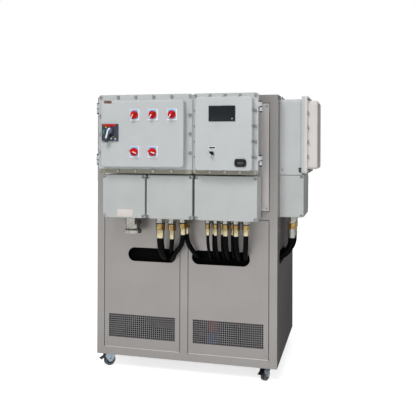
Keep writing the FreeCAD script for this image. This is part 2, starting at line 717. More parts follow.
def enclosure_lid(width, places, edge_u, axis_u, margin, scallops, holes):
    flange = rounded_plate(0, width, 0, ENCLOSURE_HEIGHT, FLANGE_CORNER, -LID_SHOULDER, -LID_BACK)
    far_u = width - margin
    far_z = ENCLOSURE_HEIGHT - margin
    raised = rounded_plate(margin, far_u, margin, far_z, LID_CORNER, -LID_FACE, -LID_SHOULDER)
    raised = soften(raised, -LID_FACE, LID_EDGE)
    cuts = [rounded_plate(margin + LID_WALL, far_u - LID_WALL, margin + LID_WALL, far_z - LID_WALL,
                          LID_CORNER - LID_WALL, LID_WALL - LID_FACE, CUT_OVER - LID_BACK)]
    for u, z in places:
        start = (u, -LID_SHOULDER - CUT_OVER, z)
        cuts.append(rod(BOLT_RADIUS + FIXED_FIT, start, Y_AXIS, FLANGE + 2 * CUT_OVER))
        if scallops:
            raised = raised.cut(rod(SCALLOP_RADIUS, (u, -LID_FACE - CUT_OVER, z), Y_AXIS, LID_RAISE + CUT_OVER))
    pieces = [flange, raised]
    for z in (HINGE_LOW_Z, HINGE_HIGH_Z):
        pieces += hinge_arm(edge_u, axis_u, -LID_SHOULDER, -LID_BACK - CUT_OVER, z)
    for u, z, radius in holes:
        cuts.append(rod(radius, (u, -LID_FACE - CUT_OVER, z), Y_AXIS, LID_WALL + 2 * CUT_OVER))
    cuts.append(rod(HINGE_PIN_RADIUS + RUNNING_FIT, (axis_u, -BODY_DEPTH, 0), Z_AXIS, ENCLOSURE_HEIGHT))
    return cut_all(joined(*pieces), cuts)


def lid_bolt(u, z):
    """Captive hex head bolt whose shank ends flush with the back of the lid flange."""
    head = hex_bar(BOLT_HEAD_FLATS, (u, -LID_SHOULDER, z), Y_AXIS * -1, BOLT_HEAD_HEIGHT)
    return joined(head, rod(BOLT_RADIUS, (u, -LID_SHOULDER, z), Y_AXIS, FLANGE))


def hinge_pin(axis_u, z):
    return rod(HINGE_PIN_RADIUS, (axis_u, -BODY_DEPTH, z - HINGE_BARREL - HINGE_PIN_PROUD), Z_AXIS,
               2 * (HINGE_BARREL + HINGE_PIN_PROUD))


def build_enclosure(kind, width, across, upright, hinge_left, margin, scallops, holes, place,
                    overhang=FLANGE_OVERHANG, foot=0):
    """One enclosure: body, hinged lid, captive bolts and hinge pins."""
    edge_u = 0 if hinge_left else width
    axis_u = -HINGE_OFFSET if hinge_left else width + HINGE_OFFSET
    places = bolt_places(width, across, upright)
    add(kind + "_enclosure", place(enclosure_body(width, places, edge_u, axis_u, overhang, foot)))
    add(kind + "_lid", place(enclosure_lid(width, places, edge_u, axis_u, margin, scallops, holes)))
    add(kind + "_lid_bolts", *[place(lid_bolt(u, z)) for u, z in places])
    add("hinge_pins", *[place(hinge_pin(axis_u, z)) for z in (HINGE_LOW_Z, HINGE_HIGH_Z)])


def at_switch(shape):
    return moved(shape, (SWITCH_X, -STANDOFF, ENCLOSURE_Z))


def at_control(shape):
    return moved(shape, (CONTROL_X, -STANDOFF, ENCLOSURE_Z))


def at_side(shape):
    return on_side(shape, (CABINET_WIDTH, SIDE_FROM_FRONT, ENCLOSURE_Z))


def build_struts():
    """Tube struts that hold the front enclosures and boxes off the upper panel."""
    left = CENTRE_X + SWITCH_FROM_CENTRE + FLANGE_OVERHANG + STRUT_INSET
    right = CONTROL_X + CONTROL_WIDTH - FLANGE_OVERHANG - STRUT_INSET
    box_left = CENTRE_X + BOX_A_FROM_CENTRE + STRUT_INSET
    box_right = CENTRE_X + BOX_C_FROM_CENTRE + WIDE_BOX_WIDTH - STRUT_INSET
    low = FLANGE_OVERHANG + STRUT_INSET
    for z in (ENCLOSURE_Z + low, ENCLOSURE_Z + ENCLOSURE_HEIGHT - low - STRUT_HEIGHT):
        add("frame_rails", tube_member((left, -STANDOFF, z), (right, 0, z + STRUT_HEIGHT), 0, 0))
    for z in (MID_RAIL_BOTTOM + TUBE - STRUT_HEIGHT, BOX_Z + BOX_HEIGHT - STRUT_INSET - STRUT_HEIGHT):
        add("frame_rails", tube_member((box_left, -STANDOFF, z), (box_right, 0, z + STRUT_HEIGHT), 0, 0))


# Rotary switches and isolator, made round the Y axis with their seat at y = 0
def rotary_knob():
    base = rod(KNOB_RADIUS, (0, -FACE_GAP - KNOB_BASE, 0), Y_AXIS, KNOB_BASE)
    seat = -FACE_GAP - KNOB_BASE
    front = seat - GRIP_HEIGHT
    half = GRIP_LENGTH / 2
    grip = rounded_plate(-half, half, -GRIP_WIDTH / 2, GRIP_WIDTH / 2, GRIP_WIDTH / 3, front, seat)
    grip = soften(grip, front, GRIP_WIDTH / 6)
    shaft_length = KNOB_BASE + PLATE_THICKNESS + LID_WALL + SHAFT_INSIDE
    shaft = rod(KNOB_SHAFT_RADIUS, (0, -KNOB_BASE, 0), Y_AXIS, shaft_length)
    return joined(base, grip, shaft)


def isolator_handle():
    hub = rod(ISOLATOR_HUB_RADIUS, (0, -FACE_GAP - ISOLATOR_HUB_HEIGHT, 0), Y_AXIS, ISOLATOR_HUB_HEIGHT)
    seat = -FACE_GAP - ISOLATOR_HUB_HEIGHT
    front = seat - LEVER_HEIGHT
    half = LEVER_WIDTH / 2
    lever = rounded_plate(-half, LEVER_LENGTH, -half, half, half - FACE_GAP, front, seat)
    lever = soften(lever, front, LEVER_WIDTH / 5)
    shaft_length = ISOLATOR_HUB_HEIGHT + ISOLATOR_THICKNESS + LID_WALL + SHAFT_INSIDE
    shaft = rod(KNOB_SHAFT_RADIUS, (0, -ISOLATOR_HUB_HEIGHT, 0), Y_AXIS, shaft_length)
    return joined(hub, lever, shaft)


def switch_places():
    places = [(u, SWITCH_TOP_ROW, TOP_ROW_TURN) for u in SWITCH_COLUMNS]
    places += [(u, SWITCH_LOW_ROW, LOW_ROW_TURN) for u in SWITCH_COLUMNS[:2]]
    return places


def shaft_hole(u, z, thickness):
    return rod(KNOB_SHAFT_RADIUS + RUNNING_FIT, (u, -LID_FACE - thickness - CUT_OVER, z), Y_AXIS,
               thickness + 2 * CUT_OVER)


def hub_place():
    return ISOLATOR_U + ISOLATOR_HUB_RIGHT, ISOLATOR_Z + ISOLATOR_HUB_ABOVE


def build_switches():
    for number, (u, z, turn) in enumerate(switch_places(), start=1):
        plate = rounded_plate(u - PLATE_WIDTH / 2, u + PLATE_WIDTH / 2, z - PLATE_HEIGHT / 2,
                              z + PLATE_HEIGHT / 2, PLATE_CORNER, -LID_FACE - PLATE_THICKNESS, -LID_FACE)
        add("switch_plates", at_switch(plate.cut(shaft_hole(u, z, PLATE_THICKNESS))))
        knob = turned(rotary_knob(), (0, 0, 0), Y_AXIS, -turn)
        add("rotary_knob_%d" % number, at_switch(moved(knob, (u, -LID_FACE - PLATE_THICKNESS, z))))
    hub_u, hub_z = hub_place()
    plate = rounded_plate(ISOLATOR_U - ISOLATOR_WIDTH / 2, ISOLATOR_U + ISOLATOR_WIDTH / 2,
                          ISOLATOR_Z - ISOLATOR_HEIGHT / 2, ISOLATOR_Z + ISOLATOR_HEIGHT / 2, PLATE_CORNER,
                          -LID_FACE - ISOLATOR_THICKNESS, -LID_FACE)
    add("isolator_plate", at_switch(plate.cut(shaft_hole(hub_u, hub_z, ISOLATOR_THICKNESS))))
    handle = turned(isolator_handle(), (0, 0, 0), Y_AXIS, -LEVER_TURN)
    add("isolator_handle", at_switch(moved(handle, (hub_u, -LID_FACE - ISOLATOR_THICKNESS, hub_z))))


def build_controls():
    screen = rounded_plate(SCREEN_U - SCREEN_WIDTH / 2, SCREEN_U + SCREEN_WIDTH / 2,
                           SCREEN_Z - SCREEN_HEIGHT / 2, SCREEN_Z + SCREEN_HEIGHT / 2, SCREEN_CORNER,
                           -LID_FACE - SCREEN_THICKNESS, -LID_FACE)
    add("touch_screen", at_control(screen))
    seat = (SELECTOR_U, -LID_FACE - SELECTOR_BEZEL_HEIGHT, SELECTOR_Z)
    bezel = rod(SELECTOR_BEZEL_RADIUS, seat, Y_AXIS, SELECTOR_BEZEL_HEIGHT)
    hole = shaft_hole(SELECTOR_U, SELECTOR_Z, SELECTOR_BEZEL_HEIGHT)
    add("selector_bezel", at_control(bezel.cut(hole)))
    base = rod(SELECTOR_RADIUS, (0, -FACE_GAP - SELECTOR_BASE, 0), Y_AXIS, SELECTOR_BASE)
    grip_front = -FACE_GAP - SELECTOR_BASE - SELECTOR_GRIP_HEIGHT
    grip = rounded_plate(-SELECTOR_GRIP_WIDTH / 2, SELECTOR_GRIP_WIDTH / 2, -SELECTOR_RADIUS, SELECTOR_RADIUS,
                         SELECTOR_GRIP_WIDTH / 3, grip_front, -FACE_GAP - SELECTOR_BASE)
    shaft_length = SELECTOR_BASE + SELECTOR_BEZEL_HEIGHT + LID_WALL + SHAFT_INSIDE
    shaft = rod(KNOB_SHAFT_RADIUS, (0, -SELECTOR_BASE, 0), Y_AXIS, shaft_length)
    add("selector_knob", at_control(moved(joined(base, grip, shaft), seat)))
    port = rounded_plate(PORT_U - PORT_WIDTH / 2, PORT_U + PORT_WIDTH / 2, PORT_Z - PORT_HEIGHT / 2,
                         PORT_Z + PORT_HEIGHT / 2, PORT_CORNER, -LID_FACE - PORT_THICKNESS, -LID_FACE)
    add("inspection_port", at_control(port))


def build_enclosures():
    fit = KNOB_SHAFT_RADIUS + RUNNING_FIT
    switch_holes = [(u, z, fit) for u, z, turn in switch_places()] + [hub_place() + (fit,)]
    build_enclosure("switch", SWITCH_WIDTH, SWITCH_BOLTS_ACROSS, SWITCH_BOLTS_UPRIGHT, True, SWITCH_LID_MARGIN,
                    False, switch_holes, at_switch)
    control_holes = [(SELECTOR_U, SELECTOR_Z, fit)]
    build_enclosure("control", CONTROL_WIDTH, CONTROL_BOLTS_ACROSS, CONTROL_BOLTS_UPRIGHT, False,
                    CONTROL_LID_MARGIN, True, control_holes, at_control)
    foot = ENCLOSURE_Z - BOX_Z - BOX_HEIGHT - FACE_GAP
    build_enclosure("side", CONTROL_WIDTH, CONTROL_BOLTS_ACROSS, CONTROL_BOLTS_UPRIGHT, False,
                    SIDE_LID_MARGIN, False, [], at_side, SIDE_OVERHANG, foot)


# Terminal boxes, made to face the front with their back at y = 0
def terminal_box(width, glands):
    shell = rounded_plate(0, width, 0, BOX_HEIGHT, BOX_CORNER, -BOX_BODY_DEPTH, 0)
    hollow = rounded_plate(BOX_WALL, width - BOX_WALL, BOX_WALL, BOX_HEIGHT - BOX_WALL,
                           BOX_CORNER - BOX_WALL / 2, -BOX_BODY_DEPTH - CUT_OVER, -BOX_WALL)
    bosses = [rod(BOSS_RADIUS, (u, -BOX_BODY_DEPTH, z), Y_AXIS, BOX_BODY_DEPTH)
              for u, z in cover_screws(width)]
    tapped = [rod(SCREW_RADIUS + FIXED_FIT, (u, -BOX_BODY_DEPTH - CUT_OVER, z), Y_AXIS,
                  COVER_SCREW_LENGTH + CUT_OVER) for u, z in cover_screws(width)]
    entries = [rod(radius + FIXED_FIT, (u, -depth, -CUT_OVER), Z_AXIS, BOX_WALL + 2 * CUT_OVER)
               for u, depth, radius in glands]
    body = shell.cut(hollow).multiFuse([boss.common(shell) for boss in bosses]).removeSplitter()
    return cut_all(body, tapped + entries)


def cover_screws(width):
    low = COVER_SCREW_INSET
    return [(u, z) for u in (low, width - low) for z in (low, BOX_HEIGHT - low)]


def box_cover(width):
    lip = rounded_plate(0, width, 0, BOX_HEIGHT, BOX_CORNER, -BOX_BODY_DEPTH - COVER_LIP, -BOX_BODY_DEPTH)
    raised = rounded_plate(0, width, 0, BOX_HEIGHT, BOX_CORNER, -BOX_FRONT, -BOX_BODY_DEPTH - COVER_LIP)
    corners = []
    for u in (0, width):
        for z in (0, BOX_HEIGHT):
            corners.append(rounded_plate(u - COVER_CUT, u + COVER_CUT, z - COVER_CUT, z + COVER_CUT,
                                         BOX_CORNER, -BOX_FRONT - CUT_OVER, -BOX_BODY_DEPTH - COVER_LIP))
    raised = soften(cut_all(raised, corners), -BOX_FRONT, COVER_EDGE)
    rim = COVER_CUT + COVER_WALL
    hollow = block((rim, COVER_WALL - BOX_FRONT, rim),
                   (width - rim, CUT_OVER - BOX_BODY_DEPTH, BOX_HEIGHT - rim))
    holes = [rod(SCREW_RADIUS + FIXED_FIT, (u, -BOX_FRONT, z), Y_AXIS, COVER_LIP + COVER_RAISE + CUT_OVER)
             for u, z in cover_screws(width)]
    return cut_all(joined(lip, raised), [hollow] + holes)


def gland(u, depth, diameter, flats, share):
    """Hex adapter, union nut and sleeve hanging from the box floor at z = 0, and the sleeve's low end."""
    radius = diameter / 2
    hex_length = GLAND_HEX * share
    nut_length = GLAND_NUT * share
    sleeve_length = GLAND_SLEEVE * share
    down = Z_AXIS * -1
    spigot = rod(radius, (u, -depth, -hex_length), Z_AXIS, hex_length + BOX_WALL + SPIGOT_INSIDE)
    neck = rod(radius + NECK_OVER, (u, -depth, -hex_length), down, GLAND_NECK)
    adapter = joined(hex_bar(flats, (u, -depth, 0), down, hex_length), spigot, neck)
    nut_top = -hex_length - GLAND_NECK
    nut = hex_bar(flats - NUT_UNDER, (u, -depth, nut_top), down, nut_length)
    sleeve = rod(radius + SLEEVE_OVER, (u, -depth, nut_top - nut_length), down, sleeve_length)
    return adapter, nut, sleeve, nut_top - nut_length - sleeve_length


def supply_gland():
    """Large bell mouthed gland for the supply cable, with an open bore."""
    start = (SUPPLY_GLAND_U, -SUPPLY_GLAND_ROW)
    down = Z_AXIS * -1
    pieces = [hex_bar(SUPPLY_HEX_FLATS, start + (0,), down, SUPPLY_HEX)]
    low = -SUPPLY_HEX
    pieces.append(rod(SUPPLY_NECK_RADIUS, start + (low,), down, SUPPLY_NECK))
    low -= SUPPLY_NECK
    flare_top = Vector(*start, low)
    pieces.append(Part.makeCone(SUPPLY_NECK_RADIUS, SUPPLY_RIM_RADIUS, SUPPLY_FLARE, flare_top, down))
    low -= SUPPLY_FLARE
    pieces.append(rod(SUPPLY_RIM_RADIUS, start + (low,), down, SUPPLY_RIM))
    spigot_length = SUPPLY_HEX + BOX_WALL + SPIGOT_INSIDE
    pieces.append(rod(SUPPLY_SPIGOT_RADIUS, start + (-SUPPLY_HEX,), Z_AXIS, spigot_length))
    low -= SUPPLY_RIM
    bore = rod(SUPPLY_BORE_RADIUS, start + (low - CUT_OVER,), Z_AXIS,
               BOX_WALL + SPIGOT_INSIDE - low + 2 * CUT_OVER)
    return joined(*pieces).cut(bore)


def build_box(width, entries, place):
    """One terminal box with its cover, cover screws and terminal row."""
    add("terminal_boxes", place(terminal_box(width, entries)))
    add("terminal_box_covers", place(box_cover(width)))
    for u, z in cover_screws(width):
        seat = (u, -BOX_BODY_DEPTH - COVER_LIP, z)
        add("panel_screws", place(screw(seat, Y_AXIS, COVER_LIP + COVER_SCREW_LENGTH - CUT_OVER)))
    middle = BOX_HEIGHT / 2
    add("switchgear", place(block((TERMINAL_END_GAP, -BOX_WALL - TERMINAL_DEPTH, middle - TERMINAL_HEIGHT / 2),
                                  (width - TERMINAL_END_GAP, -BOX_WALL, middle + TERMINAL_HEIGHT / 2))))


def build_boxes():
    places = {"a": (CENTRE_X + BOX_A_FROM_CENTRE, BOX_A_WIDTH, ()),
              "b": (CENTRE_X + BOX_B_FROM_CENTRE, BOX_B_WIDTH, BOX_B_GLANDS),
              "c": (CENTRE_X + BOX_C_FROM_CENTRE, WIDE_BOX_WIDTH, BOX_C_GLANDS)}
    for name, (x, width, glands) in places.items():
        entries = [(u, depth, diameter / 2) for u, depth, diameter, flats, share in glands]
        if name == "a":
            entries.append((SUPPLY_GLAND_U, SUPPLY_GLAND_ROW, SUPPLY_SPIGOT_RADIUS))
            add("gland_adapters", moved(supply_gland(), (x, -STANDOFF, BOX_Z)))
        build_box(width, entries, lambda shape, x=x: moved(shape, (x, -STANDOFF, BOX_Z)))
        for number, (u, depth, diameter, flats, share) in enumerate(glands):
            adapter, nut, sleeve, low = gland(u, depth, diameter, flats, share)
            add("gland_adapters", moved(adapter, (x, -STANDOFF, BOX_Z)), moved(sleeve, (x, -STANDOFF, BOX_Z)))
            add("gland_nuts", moved(nut, (x, -STANDOFF, BOX_Z)))
            front_conduit(name, number, (x + u, -STANDOFF - depth, BOX_Z + low), diameter)
    side = (CABINET_WIDTH, SIDE_BOX_FROM_FRONT, BOX_Z)
    entries = [(u, depth, diameter / 2) for u, depth, diameter, flats, share in SIDE_GLANDS]
    build_box(WIDE_BOX_WIDTH, entries, lambda shape: on_side(shape, side))
    for u, depth, diameter, flats, share in SIDE_GLANDS:
        adapter, nut, sleeve, low = gland(u, depth, diameter, flats, share)
        add("gland_adapters", on_side(adapter, side), on_side(sleeve, side))
        add("gland_nuts", on_side(nut, side))
        start = (CABINET_WIDTH + depth, SIDE_BOX_FROM_FRONT + u, BOX_Z + low)
        end_x = CABINET_WIDTH - DUCT_SIDE_GAP
        conduit(diameter, [start, (start[0], start[1], CONDUIT_Z), (end_x, start[1], CONDUIT_Z)])


# Flexible conduits from the glands through the slots to the cable duct
def route_length(points, radii):
    """Length of a route whose corners are rounded to the given radii."""
    route = [Vector(*point) for point in points]
    runs = [end - start for start, end in zip(route, route[1:])]
    length = sum(run.Length for run in runs)
    for before, after, radius in zip(runs, runs[1:], radii):
        turn = before.getAngle(after)
        length += radius * (turn - 2 * math.tan(turn / 2))
    return length


def conduit(diameter, points):
    solid, radii = pipe(diameter / 2, points)
    length = route_length(points, radii)
    share = solid.Volume / (length * math.pi * diameter ** 2 / 4)
    print("conduit %.0f mm: length %.0f, volume %.4f of section times length, bend radii"
          % (diameter, length, share), [round(radius) for radius in radii])
    add("flexible_conduits", solid)


def front_conduit(box, number, start, diameter):
    """Conduit from a front gland: straight back through the slot, or sideways first."""
    x, y, z = start
    if (box, number) in SIDEWAYS_CONDUITS:
        from_centre, end_z = SIDEWAYS_CONDUITS[(box, number)]
        end_x = CENTRE_X + from_centre
        points = [start, (x, y, z - CONDUIT_DROP), (end_x, CONDUIT_TURN_Y, end_z), (end_x, TUBE, end_z)]
    else:
        points = [start, (x, y, CONDUIT_Z), (x, TUBE, CONDUIT_Z)]
    conduit(diameter, points)


def build_duct():
    """Open topped cable duct on the back of the posts, with a branch along the right side."""
    end_x = CABINET_WIDTH - DUCT_SIDE_GAP
    back_y = TUBE + DUCT_DEPTH
    main = block((DUCT_START_X, TUBE, DUCT_BOTTOM_Z), (end_x, back_y, DUCT_TOP_Z))
    branch = block((end_x - DUCT_SIDE_WIDTH, TUBE, DUCT_BOTTOM_Z), (end_x, TUBE + DUCT_SIDE_LENGTH, DUCT_TOP_Z))
    floor = DUCT_BOTTOM_Z + SHEET
    over = DUCT_TOP_Z + CUT_OVER
    main_inside = block((DUCT_START_X + SHEET, TUBE + SHEET, floor), (end_x - SHEET, back_y - SHEET, over))
    branch_inside = block((end_x - DUCT_SIDE_WIDTH + SHEET, TUBE + SHEET, floor),
                          (end_x - SHEET, TUBE + DUCT_SIDE_LENGTH - SHEET, over))
    add("cable_duct", joined(main, branch).cut(main_inside.fuse(branch_inside)))


# Casters, made with the king pin on the Z axis, the frame's underside at z = 0 and the wheel trailing to +X
AXLE_Z = WHEEL_RADIUS - CASTER_HEIGHT
CHEEK_Y = WHEEL_WIDTH / 2 + WHEEL_SIDE_GAP
RACE_LOW = -CASTER_PLATE - RACE_HEIGHT
CROWN_TOP = RACE_LOW - FACE_GAP
CROWN_LOW = CROWN_TOP - CROWN_HEIGHT
PIVOT_X = TRAIL + PEDAL_PIVOT_BEHIND
PIVOT_Z = AXLE_Z + PEDAL_PIVOT_ABOVE


def top_plate():
    half_x = CASTER_PLATE_LENGTH / 2
    half_y = CASTER_PLATE_WIDTH / 2
    return block((-half_x, -half_y, -CASTER_PLATE), (half_x, half_y, 0))


def swivel_plate():
    race = rod(RACE_RADIUS, (0, 0, RACE_LOW), Z_AXIS, RACE_HEIGHT)
    bore = rod(KING_PIN_RADIUS + RUNNING_FIT, (0, 0, RACE_LOW - CUT_OVER), Z_AXIS, RACE_HEIGHT + 2 * CUT_OVER)
    return joined(top_plate(), race).cut(bore)


def cheeks(outline):
    """The two side plates of a fork from an outline of (x, z) corners."""
    plates = []
    for y in (-CHEEK_Y - CHEEK, CHEEK_Y):
        wire = Part.makePolygon([Vector(x, y, z) for x, z in outline + outline[:1]])
        plates.append(Part.Face(wire).extrude(Vector(0, CHEEK, 0)))
    return plates


def axle(x):
    """Axle bolt through the cheeks, with a head at each end."""
    half = CHEEK_Y + CHEEK
    pieces = [rod(AXLE_RADIUS, (x, -half, AXLE_Z), Y_AXIS, 2 * half)]
    for y in (-half - AXLE_HEAD, half):
        pieces.append(hex_bar(2 * AXLE_HEAD_RADIUS, (x, y, AXLE_Z), Y_AXIS, AXLE_HEAD))
    return pieces


def swivel_fork():
    half = CHEEK_Y + CHEEK
    crown = rod(RACE_RADIUS, (0, 0, CROWN_LOW), Z_AXIS, CROWN_HEIGHT)
    bridge = block((0, -half, CROWN_LOW), (TRAIL, half, CROWN_TOP))
    king_pin = rod(KING_PIN_RADIUS, (0, 0, CROWN_LOW), Z_AXIS, CROWN_HEIGHT + FACE_GAP + RACE_HEIGHT - CUT_OVER)
    low = AXLE_Z - CHEEK_ROUND
    outline = [(-CHEEK_ROUND, CROWN_TOP), (PIVOT_X, CROWN_TOP), (PIVOT_X + CHEEK_ROUND, PIVOT_Z),
               (TRAIL + CHEEK_ROUND, low), (TRAIL - CHEEK_ROUND, low), (-CHEEK_ROUND, CROWN_LOW - CHEEK_ROUND)]
    pin = rod(PEDAL_PIN_RADIUS, (PIVOT_X, -half, PIVOT_Z), Y_AXIS, 2 * half)
    return joined(crown, bridge, king_pin, pin, *cheeks(outline), *axle(TRAIL))


def rigid_fork():
    low = AXLE_Z - CHEEK_ROUND
    reach = CASTER_PLATE_LENGTH / 2 - CHEEK_ROUND
    outline = [(-reach, -CASTER_PLATE), (reach, -CASTER_PLATE), (CHEEK_ROUND, low), (-CHEEK_ROUND, low)]
    return joined(top_plate(), *cheeks(outline), *axle(0))


def wheel(x):
    """Wheel with a dished side and a hub, turned round the axle."""
    half = WHEEL_WIDTH / 2
    rim = WHEEL_RADIUS - WHEEL_RIM
    bore = AXLE_RADIUS + RUNNING_FIT
    shoulder = WHEEL_RADIUS - WHEEL_ROUND
    crown = half - WHEEL_ROUND
    web = half - WHEEL_DISH
    profile = [(bore, -half), (WHEEL_HUB_RADIUS, -half), (WHEEL_HUB_RADIUS, -web), (rim, -web), (rim, -half),
               (shoulder, -half), (WHEEL_RADIUS, -crown), (WHEEL_RADIUS, crown), (shoulder, half), (rim, half),
               (rim, web), (WHEEL_HUB_RADIUS, web), (WHEEL_HUB_RADIUS, half), (bore, half), (bore, -half)]
    face = Part.Face(Part.makePolygon([Vector(x + r, y, AXLE_Z) for r, y in profile]))
    return face.revolve(Vector(x, 0, AXLE_Z), Y_AXIS, 360)


def brake_pedal():
    half = PEDAL_WIDTH / 2
    inside = CHEEK_Y - FACE_GAP
    barrel = rod(PEDAL_BARREL_RADIUS, (PIVOT_X, -inside, PIVOT_Z), Y_AXIS, 2 * inside)
    low = (PIVOT_X, -inside, PIVOT_Z)
    neck = block(low, (PIVOT_X + PEDAL_BARREL_RADIUS + CHEEK_ROUND, inside, PIVOT_Z + PEDAL_THICKNESS))
    tread_x = PIVOT_X + CHEEK_ROUND + PEDAL_THICKNESS
    tread = block((tread_x, -half, PIVOT_Z), (tread_x + PEDAL_LENGTH, half, PIVOT_Z + PEDAL_THICKNESS))
    lever = turned(joined(neck, tread), low, Y_AXIS, PEDAL_SLOPE)
    bore = rod(PEDAL_PIN_RADIUS + RUNNING_FIT, (PIVOT_X, -inside - CUT_OVER, PIVOT_Z), Y_AXIS,
               2 * inside + 2 * CUT_OVER)
    return joined(barrel, lever).cut(bore)


def caster_places():
    far_x = CABINET_WIDTH - CASTER_FROM_SIDE
    far_y = CABINET_DEPTH - CASTER_FROM_FRONT
    return {"left": (CASTER_FROM_SIDE, CASTER_FROM_FRONT), "right": (far_x, CASTER_FROM_FRONT),
            "rear_left": (CASTER_FROM_SIDE, far_y), "rear_right": (far_x, far_y)}


def build_casters():
    places = caster_places()
    for name, swivel in (("left", LEFT_SWIVEL), ("right", RIGHT_SWIVEL)):
        spot = places[name] + (0,)
        add("caster_plates", moved(swivel_plate(), spot))
        pieces = {"caster_fork_": swivel_fork(), "brake_pedal_": brake_pedal(), "caster_wheel_": wheel(TRAIL)}
        for kind, shape in pieces.items():
            add(kind + name, moved(turned(shape, (0, 0, 0), Z_AXIS, swivel), spot))
    for name in ("rear_left", "rear_right"):
        spot = places[name] + (0,)
        add("caster_plates", moved(turned(rigid_fork(), (0, 0, 0), Z_AXIS, 90), spot))
        add("caster_wheel_" + name, moved(turned(wheel(0), (0, 0, 0), Z_AXIS, 90), spot))


# Machine inside the cabinet
def build_pump():
    base = (PUMP_X, PUMP_Y, TRAY_TOP)
    top = TRAY_TOP + PUMP_HEIGHT
    chamber_low = TRAY_TOP + PUMP_CHAMBER_BOTTOM
    casing = rod(PUMP_RADIUS, base, Z_AXIS, PUMP_HEIGHT)
    chamber = rod(PUMP_CHAMBER_RADIUS, (PUMP_X, PUMP_Y, chamber_low), Z_AXIS, PUMP_CHAMBER_HEIGHT)
    bore = rod(MOTOR_SHAFT_RADIUS + RUNNING_FIT, (PUMP_X, PUMP_Y, chamber_low), Z_AXIS, PUMP_HEIGHT)
    add("pump_casing", cut_all(casing, [chamber, bore]))
    motor = [rod(MOTOR_RADIUS, (PUMP_X, PUMP_Y, top), Z_AXIS, MOTOR_HEIGHT)]
    fin_low = (PUMP_X, PUMP_Y - MOTOR_FIN / 4, top + MOTOR_FIN)
    fin_high = (PUMP_X + MOTOR_RADIUS + MOTOR_FIN, PUMP_Y + MOTOR_FIN / 4, top + MOTOR_HEIGHT - MOTOR_FIN)
    fin = block(fin_low, fin_high)
    for step in range(MOTOR_FINS):
        motor.append(turned(fin, base, Z_AXIS, 360.0 * step / MOTOR_FINS))
    shaft_top = top + MOTOR_HEIGHT - 2 * MOTOR_FIN
    cavity = rod(MOTOR_SHAFT_RADIUS + RUNNING_FIT, (PUMP_X, PUMP_Y, top - CUT_OVER), Z_AXIS,
                 shaft_top - top + 2 * CUT_OVER)
    add("pump_motor", joined(*motor).cut(cavity))
    hub_low = chamber_low + (PUMP_CHAMBER_HEIGHT - IMPELLER_HEIGHT) / 2
    pieces = [rod(MOTOR_SHAFT_RADIUS, (PUMP_X, PUMP_Y, hub_low), Z_AXIS, shaft_top - hub_low),
              rod(IMPELLER_RADIUS, (PUMP_X, PUMP_Y, hub_low), Z_AXIS, MOTOR_FIN)]
    blade = block((PUMP_X, PUMP_Y, hub_low), (PUMP_X + IMPELLER_RADIUS - MOTOR_FIN, PUMP_Y + MOTOR_FIN,
                                              hub_low + IMPELLER_HEIGHT))
    for step in range(IMPELLER_BLADES):
        pieces.append(turned(blade, base, Z_AXIS, 360.0 * step / IMPELLER_BLADES))
    add("pump_shaft", joined(*pieces))


def build_vessels():
    base = (HEATER_X, HEATER_Y, TRAY_TOP)
    flange_low = TRAY_TOP + HEATER_HEIGHT
    shell = rod(HEATER_RADIUS, base, Z_AXIS, HEATER_HEIGHT)
    flange = rod(HEATER_FLANGE_RADIUS, (HEATER_X, HEATER_Y, flange_low), Z_AXIS, HEATER_FLANGE)
    inside = rod(HEATER_RADIUS - HEATER_WALL, (HEATER_X, HEATER_Y, TRAY_TOP + HEATER_WALL), Z_AXIS,
                 HEATER_HEIGHT + HEATER_FLANGE)
    add("heater_vessel", joined(shell, flange).cut(inside))
    tank_low = flange_low + HEATER_FLANGE
    tank = rod(TANK_RADIUS, (HEATER_X, HEATER_Y, tank_low), Z_AXIS, TANK_HEIGHT)
    rim = [edge for edge in tank.Edges if edge.Closed and edge.BoundBox.ZMin > tank_low + TANK_DOME]
    cavity = rod(TANK_RADIUS - TANK_WALL, (HEATER_X, HEATER_Y, tank_low + TANK_WALL), Z_AXIS,
                 TANK_HEIGHT - TANK_DOME)
    filler = rod(FILLER_RADIUS, (HEATER_X, HEATER_Y, tank_low + TANK_DOME), Z_AXIS, TANK_HEIGHT)
    add("expansion_tank", cut_all(tank.makeFillet(TANK_DOME, rim), [cavity.fuse(filler)]))
    high = (EXCHANGER_X + EXCHANGER_WIDTH, EXCHANGER_Y + EXCHANGER_DEPTH, TRAY_TOP + EXCHANGER_HEIGHT)
    stack = block((EXCHANGER_X + EXCHANGER_INSET, EXCHANGER_Y + EXCHANGER_PLATE, TRAY_TOP + EXCHANGER_INSET),
                  (high[0] - EXCHANGER_INSET, high[1] - EXCHANGER_PLATE, high[2] - EXCHANGER_INSET))
    front = block((EXCHANGER_X, EXCHANGER_Y, TRAY_TOP), (high[0], EXCHANGER_Y + EXCHANGER_PLATE, high[2]))
    back = block((EXCHANGER_X, high[1] - EXCHANGER_PLATE, TRAY_TOP), high)
    add("heat_exchanger", joined(stack, front, back))


